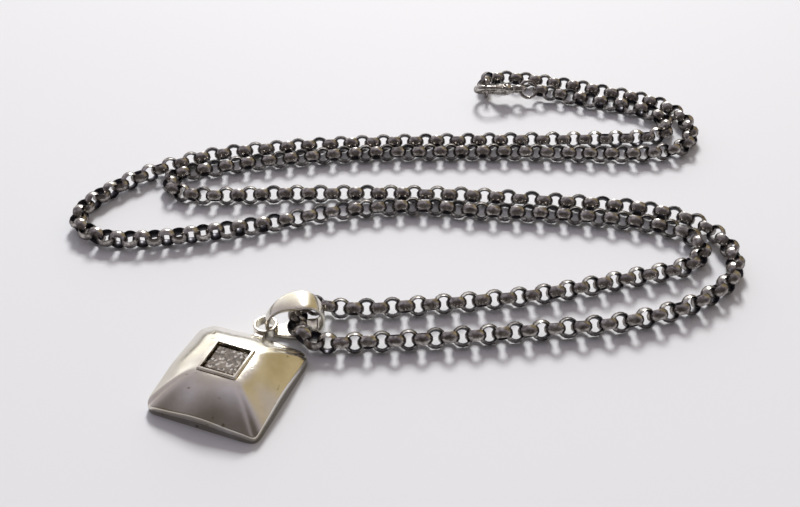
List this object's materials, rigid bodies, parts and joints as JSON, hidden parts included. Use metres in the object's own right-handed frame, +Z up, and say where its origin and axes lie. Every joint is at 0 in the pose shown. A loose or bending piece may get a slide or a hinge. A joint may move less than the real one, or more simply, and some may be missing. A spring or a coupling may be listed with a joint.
{
  "type": "pendant_necklace",
  "caption": "Silver-coloured pendant necklace: domed square pendant with a square clear stone, leaf bail, belcher chain in two strands, lobster clasp and end ring.",
  "frame": {"origin": "middle of the pendant's flat back, which lies on the table", "axes": "+Z up from the table, +X along the long rows of the chain, +Y from the pendant towards the clasp"},
  "size_m": [0.0768, 0.0671, 0.0043],
  "materials": {
    "dark_silver": "polished silver, slightly darkened between the links",
    "bright_silver": "bright polished silver with fine scratches",
    "clear_stone": "clear faceted stone, polished",
    "spring_steel": "drawn spring strip, satin"
  },
  "bodies": {
    "chain": {"chain_clasp_side_01": "dark_silver", "chain_clasp_side_02": "dark_silver", "chain_clasp_side_03": "dark_silver", "chain_clasp_side_04": "dark_silver", "chain_clasp_side_05": "dark_silver", "chain_clasp_side_06": "dark_silver", "chain_clasp_side_07": "dark_silver", "chain_clasp_side_08": "dark_silver", "chain_clasp_side_09": "dark_silver", "chain_clasp_side_10": "dark_silver", "chain_ring_side_01": "dark_silver", "chain_ring_side_02": "dark_silver", "chain_ring_side_03": "dark_silver", "chain_ring_side_04": "dark_silver", "chain_ring_side_05": "dark_silver", "chain_ring_side_06": "dark_silver", "chain_ring_side_07": "dark_silver", "chain_ring_side_08": "dark_silver"},
    "bail": {"bail": "bright_silver"},
    "pendant": {"pendant_shell": "bright_silver", "pendant_back_plate": "bright_silver", "stone_collet": "bright_silver", "square_stone": "clear_stone", "pendant_eye": "bright_silver"},
    "clasp_link": {"clasp_jump_ring": "dark_silver"},
    "clasp": {"clasp_body": "dark_silver", "clasp_pivot_pin": "dark_silver", "clasp_spring": "spring_steel"},
    "trigger": {"clasp_trigger": "dark_silver"},
    "end_link": {"chain_end_ring": "dark_silver"}
  },
  "joints": [
    {"name": "bail_swing", "type": "hinge", "parent": "chain", "child": "bail", "pos_m": [0.00598, 0.00765, 0.00167], "axis": [0.1392, -0.9903, 0], "range_deg": [0, 14]},
    {"name": "pendant_turn", "type": "hinge", "parent": "bail", "child": "pendant", "pos_m": [0.00277, 0.00725, 0.001], "axis": [0, 0, 1], "range_deg": [-60, 5]},
    {"name": "clasp_link_tilt", "type": "hinge", "parent": "chain", "child": "clasp_link", "pos_m": [0.0353, 0.0542, 0.00192], "axis": [0, 1, 0], "range_deg": [-0.5, 6]},
    {"name": "clasp_swing", "type": "hinge", "parent": "clasp_link", "child": "clasp", "pos_m": [0.0326, 0.0542, 0.00192], "axis": [0, 0.6225, 0.7826], "range_deg": [-2, 2]},
    {"name": "clasp_lever", "type": "hinge", "parent": "clasp", "child": "trigger", "pos_m": [0.0307, 0.05371, 0.00231], "axis": [0, -0.6225, -0.7826], "range_deg": [0, 14], "stiffness_Nm_per_rad": 0.0001},
    {"name": "end_link_swing", "type": "hinge", "parent": "chain", "child": "end_link", "pos_m": [0.028, 0.0567, 0.00141], "axis": [0, 0, 1], "range_deg": [-4, 4]}
  ]
}
